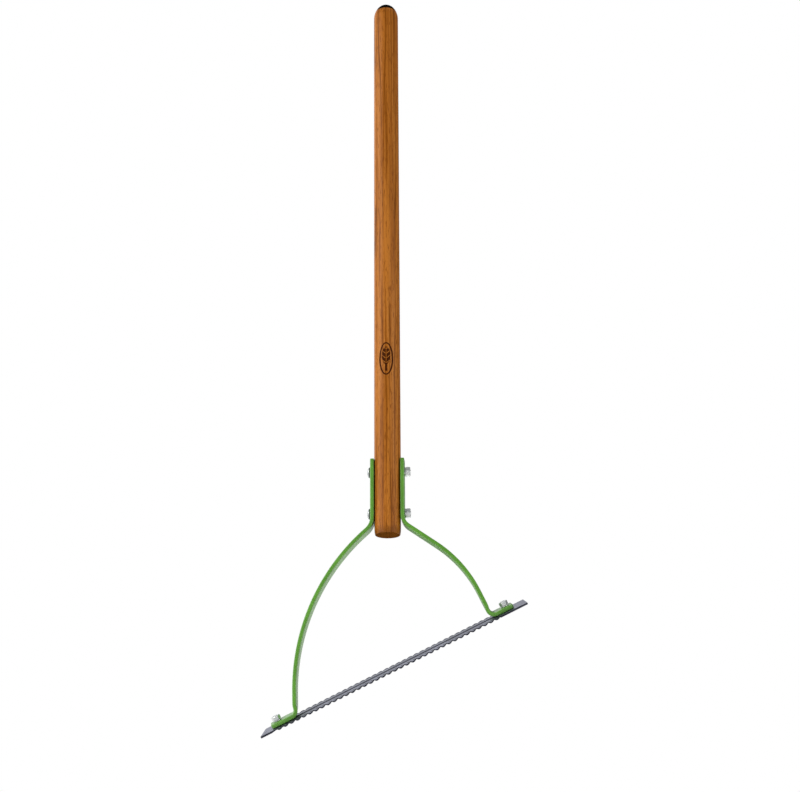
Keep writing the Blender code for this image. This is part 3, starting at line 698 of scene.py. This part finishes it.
def build_blade(tempered, ground):
    """Loft the blade closely enough to show every tooth's curve."""
    half = 0.5 * BLADE_LENGTH
    step = TOOTH_PITCH / COLUMNS_PER_TOOTH
    count = round((BLADE_LENGTH - PLAIN_LEFT - PLAIN_RIGHT) / step)
    columns = [-half, -half + END_SKEW_RUN]
    columns += [-half + PLAIN_LEFT + step * k for k in range(count + 1)] + [half]
    verts, slots, hollow_shades = [], [], []
    for along in columns:
        share = max(0.0, 1.0 - (along + half) / END_SKEW_RUN)
        section = blade_section(along)
        for across, up in section:
            # painted shade of the ground hollow between two teeth, darkest at the notch
            inward = min(1.0, (0.5 * BLADE_WIDTH + across) / FLUTE_WIDTH)
            leant = tooth_lobe(along + half - PLAIN_LEFT + HOLLOW_LEAN * inward)
            hollow_shades.append(0.0 if leant is None else (1.0 - leant) * (1.0 - inward ** HOLLOW_FADE))
            skew = END_SKEW * share * (across / BLADE_WIDTH + 0.5)
            verts.append(BLADE_CENTRE + ALONG * (along + skew) + BLADE_ACROSS * across
                         + BLADE_UP * up)
    around = len(section)
    # faces run round the section: near underside, near top, rib, far top, far underside
    top = set(range(4, around - 5))
    bevels = set(range(4, 11)) | set(range(around - 12, around - 8))
    for segment in range(len(columns) - 1):
        bright = bevels if 1 < segment < len(columns) - 2 else top
        slots += [1 if k in bright else 0 for k in range(around)]
    slots += [1, 1]
    faces = tube_faces(len(columns), around)
    return make_piece("toothed_blade", verts, faces, [tempered, ground], "blade",
                      sharp=24.0, slots=slots, values={"hollow_shade": hollow_shades})


# ---- Fasteners ----

def build_bolt(name, node, matrix, fix, head_at, tip_at, material):
    """Make a round head, a square neck and a threaded shank in one closed skin."""
    around = HEAD_POINTS
    head_radius, shank = fix["head_radius"], fix["radius"] - SHANK_EASE
    crown = fix["head_height"] - HEAD_RIM
    rings = []
    for step in range(1, HEAD_STEPS + 1):
        angle = 0.5 * math.pi * step / HEAD_STEPS
        rings.append(("round", head_radius * math.sin(angle),
                      head_at - HEAD_RIM - crown * math.cos(angle)))
    rings += [("round", head_radius, head_at - HEAD_EASE),
              ("round", head_radius - HEAD_EASE, head_at), ("square", 0.0, head_at),
              ("square", 0.0, head_at + fix["neck_length"])]
    thread_start = max(head_at + fix["neck_length"] + THREAD_CLEAR, tip_at - THREAD_LENGTH)
    thread_end = tip_at - TIP_CHAMFER
    turns = (thread_end - thread_start) / fix["pitch"]
    for step in range(math.ceil(turns * THREAD_STEPS) + 1):
        height = min(thread_start + step * fix["pitch"] / THREAD_STEPS, thread_end)
        rings.append(("thread", shank, height))
    rings += [("round", shank - TIP_CHAMFER, tip_at), ("round", TIP_CENTRE, tip_at)]
    verts, rim_shade = [], []
    half_neck = 0.5 * fix["neck_side"]
    for kind, radius, height in rings:
        # painted shade on the head's rim, where it meets the strap
        spread = radius / head_radius if height <= head_at else 0.0
        rim_shade += [smooth_share(spread, RIM_SHADE_FROM, 1.0)] * around
        for k in range(around):
            angle = math.tau * k / around
            reach = radius
            if kind == "square":
                reach = half_neck / max(abs(math.cos(angle)), abs(math.sin(angle)))
            if kind == "thread":
                phase = (height / fix["pitch"] - k / around) % 1.0
                reach = radius - THREAD_DEPTH * fix["pitch"] * abs(2.0 * phase - 1.0)
            verts.append(matrix @ Vector((reach * math.cos(angle), reach * math.sin(angle),
                                          height)))
    return make_piece(name, verts, tube_faces(len(rings), around), [material], node,
                      sharp=40.0, values={"rim_shade": rim_shade})


def build_nut(name, node, matrix, fix, seat, material):
    """Make a hexagon nut with turned corners, eased edges and a countersunk bore."""
    around = NUT_POINTS
    flat = 0.5 * fix["nut_flats"]
    face = NUT_FACE * flat
    bore = fix["radius"] + BORE_EASE
    end = seat + fix["nut_height"]
    profile = [("bore", bore, seat + NUT_LEAD), ("bore", bore + NUT_LEAD, seat),
               ("face", face, seat), ("hex", -NUT_EASE, seat), ("hex", 0.0, seat + NUT_EASE),
               ("hex", 0.0, end - NUT_EASE), ("hex", -NUT_EASE, end), ("face", face, end),
               ("bore", bore + NUT_LEAD, end), ("bore", bore, end - NUT_LEAD)]
    verts = []
    for kind, size, height in profile:
        for k in range(around):
            angle = math.tau * k / around
            off = (angle + math.pi / 6) % (math.pi / 3) - math.pi / 6
            reach, up = size, height
            if kind == "hex":
                edge = min(flat / math.cos(math.pi / 6 - abs(off)), NUT_CORNER * flat)
                reach = edge + size
                drop = (edge - face) * math.tan(NUT_CHAMFER)
                up = height + drop if height < 0.5 * (seat + end) else height - drop
            verts.append(matrix @ Vector((reach * math.cos(angle), reach * math.sin(angle), up)))
    return make_piece(name, verts, tube_faces(len(profile), around, closed=True), [material],
                      node, sharp=24.0)


def build_washer(name, node, matrix, fix, seat, material):
    """Make a split lock washer with eased corners and a slanted split."""
    inner, outer = fix["radius"] + WASHER_BORE_EASE, fix["washer_outer"]
    middle = 0.5 * (inner + outer)
    half = 0.5 * fix["washer_thickness"]
    section = round_section(0.5 * (outer - inner), half, WASHER_EDGE)
    verts = []
    for step in range(WASHER_STEPS + 1):
        angle = 0.5 * WASHER_SPLIT + (math.tau - WASHER_SPLIT) * step / WASHER_STEPS
        for out, up, _ in section:
            slant = angle + WASHER_SLANT * up / half
            radius = middle + out
            verts.append(matrix @ Vector((radius * math.cos(slant), radius * math.sin(slant),
                                          seat + half + up)))
    return make_piece(name, verts, tube_faces(WASHER_STEPS + 1, len(section)), [material], node)


def build_fasteners(zinc):
    """Put every bolt, lock washer and nut in its place."""
    outside = STRAP_INNER + STRAP_THICKNESS
    for label, height in (("upper", UPPER_BOLT_Z), ("lower", LOWER_BOLT_Z)):
        matrix = frame_matrix(Vector((0.0, 0.0, height)), BACKWARD, Vector((0.0, 0.0, 1.0)),
                              Vector((1.0, 0.0, 0.0)))
        build_stack("handle", label, matrix, HANDLE_FIX, -outside - GAP, outside + GAP, zinc)
    for label, side in (("left", -1.0), ("right", 1.0)):
        centre = BLADE_CENTRE + ALONG * side * (0.5 * BLADE_LENGTH - BLADE_BOLT_INSET)
        matrix = frame_matrix(centre, ALONG, BLADE_ACROSS, BLADE_UP)
        build_stack("blade", label, matrix, BLADE_FIX, -0.5 * BLADE_THICKNESS - GAP,
                    FOOT_LIFT + 0.5 * STRAP_THICKNESS + GAP, zinc)


def build_stack(place, label, matrix, fix, head_at, washer_seat, zinc):
    """Make one bolt with its lock washer and nut."""
    nut_seat = washer_seat + fix["washer_thickness"] + GAP
    tip = nut_seat + fix["nut_height"] + fix["protrusion"]
    build_bolt(f"carriage_bolt_{place}_{label}", f"{place}_bolt_{label}", matrix, fix,
               head_at, tip, zinc)
    build_washer(f"split_washer_{place}_{label}", f"{place}_lock_washer_{label}", matrix,
                 fix, washer_seat, zinc)
    build_nut(f"hex_nut_{place}_{label}", f"{place}_nut_{label}", matrix, fix, nut_seat, zinc)


# ---- Studio ----

def add_light(name, place, target, size, power, colour):
    """Add a square soft light that faces a point."""
    data = bpy.data.lights.new(name, "AREA")
    data.shape = "SQUARE"
    data.size = size
    data.energy = power
    data.color = colour
    light = bpy.data.objects.new(name, data)
    light.location = place
    light.rotation_euler = (Vector(target) - Vector(place)).to_track_quat("-Z", "Y").to_euler()
    light.visible_camera = False
    bpy.context.scene.collection.objects.link(light)


def build_studio():
    """Make the floor, the pale surroundings, the lights and the camera."""
    scene = bpy.context.scene
    floor_mesh = bpy.data.meshes.new("studio_floor")
    corners = ((-1.0, -1.0), (1.0, -1.0), (1.0, 1.0), (-1.0, 1.0))
    floor_mesh.from_pydata([(x * FLOOR_REACH, y * FLOOR_REACH, FLOOR_Z) for x, y in corners],
                           [], [(0, 1, 2, 3)])
    floor_mesh.materials.append(floor_material())
    floor = bpy.data.objects.new("studio_floor", floor_mesh)
    scene.collection.objects.link(floor)

    world = bpy.data.worlds.new("studio")
    world.use_nodes = True
    nodes, links = world.node_tree.nodes, world.node_tree.links
    surroundings = nodes["Background"]
    surroundings.inputs["Color"].default_value = SURROUNDINGS_TINT
    towards = nodes.new("ShaderNodeTexCoord").outputs["Generated"]
    strength = DIM_SURROUNDINGS
    for (x, y, z), start, full, share in SOFT_SOURCES:
        facing = nodes.new("ShaderNodeVectorMath")
        facing.operation = "DOT_PRODUCT"
        links.new(towards, facing.inputs[0])
        facing.inputs[1].default_value = Vector((x, y, z)).normalized()
        glow = nodes.new("ShaderNodeMapRange")
        glow.interpolation_type = "SMOOTHSTEP"
        links.new(facing.outputs["Value"], glow.inputs["Value"])
        glow.inputs["From Min"].default_value = start
        glow.inputs["From Max"].default_value = full
        glow.inputs["To Max"].default_value = share
        total = nodes.new("ShaderNodeMath")
        links.new(glow.outputs["Result"], total.inputs[0])
        if isinstance(strength, float):
            total.inputs[1].default_value = strength
        else:
            links.new(strength, total.inputs[1])
        strength = total.outputs[0]
    links.new(strength, surroundings.inputs["Strength"])
    seen = nodes.new("ShaderNodeBackground")
    seen.inputs["Color"].default_value = (1.0, 1.0, 1.0, 1.0)
    seen.inputs["Strength"].default_value = 1.0
    path = nodes.new("ShaderNodeLightPath")
    pick = nodes.new("ShaderNodeMixShader")
    links.new(path.outputs["Is Camera Ray"], pick.inputs[0])
    links.new(surroundings.outputs[0], pick.inputs[1])
    links.new(seen.outputs[0], pick.inputs[2])
    links.new(pick.outputs[0], nodes["World Output"].inputs["Surface"])
    scene.world = world
    scene.view_settings.view_transform = "Standard"

    for settings in LIGHTS:
        add_light(*settings)

    camera_data = bpy.data.cameras.new("camera")
    camera_data.sensor_fit = "HORIZONTAL"
    camera_data.sensor_width = SENSOR_WIDTH
    camera_data.lens = CAMERA_LENS
    camera_data.clip_end = 30.0
    camera = bpy.data.objects.new("camera", camera_data)
    look = CAMERA_TOWARDS.to_track_quat("-Z", "Y").to_matrix().to_4x4()
    camera.matrix_world = (Matrix.Translation(CAMERA_PLACE) @ look
                           @ Matrix.Rotation(CAMERA_ROLL, 4, "Z"))
    scene.collection.objects.link(camera)
    scene.camera = camera


paint = paint_material()
zinc = zinc_material()
build_handle(wood_material(), end_grain_material())
build_strap("flat_strap_left", -1, LEFT_ARM, "left_strap", paint)
build_strap("flat_strap_right", 1, RIGHT_ARM, "right_strap", paint)
build_blade(blade_material(ground=False), blade_material(ground=True))
build_fasteners(zinc)
build_studio()
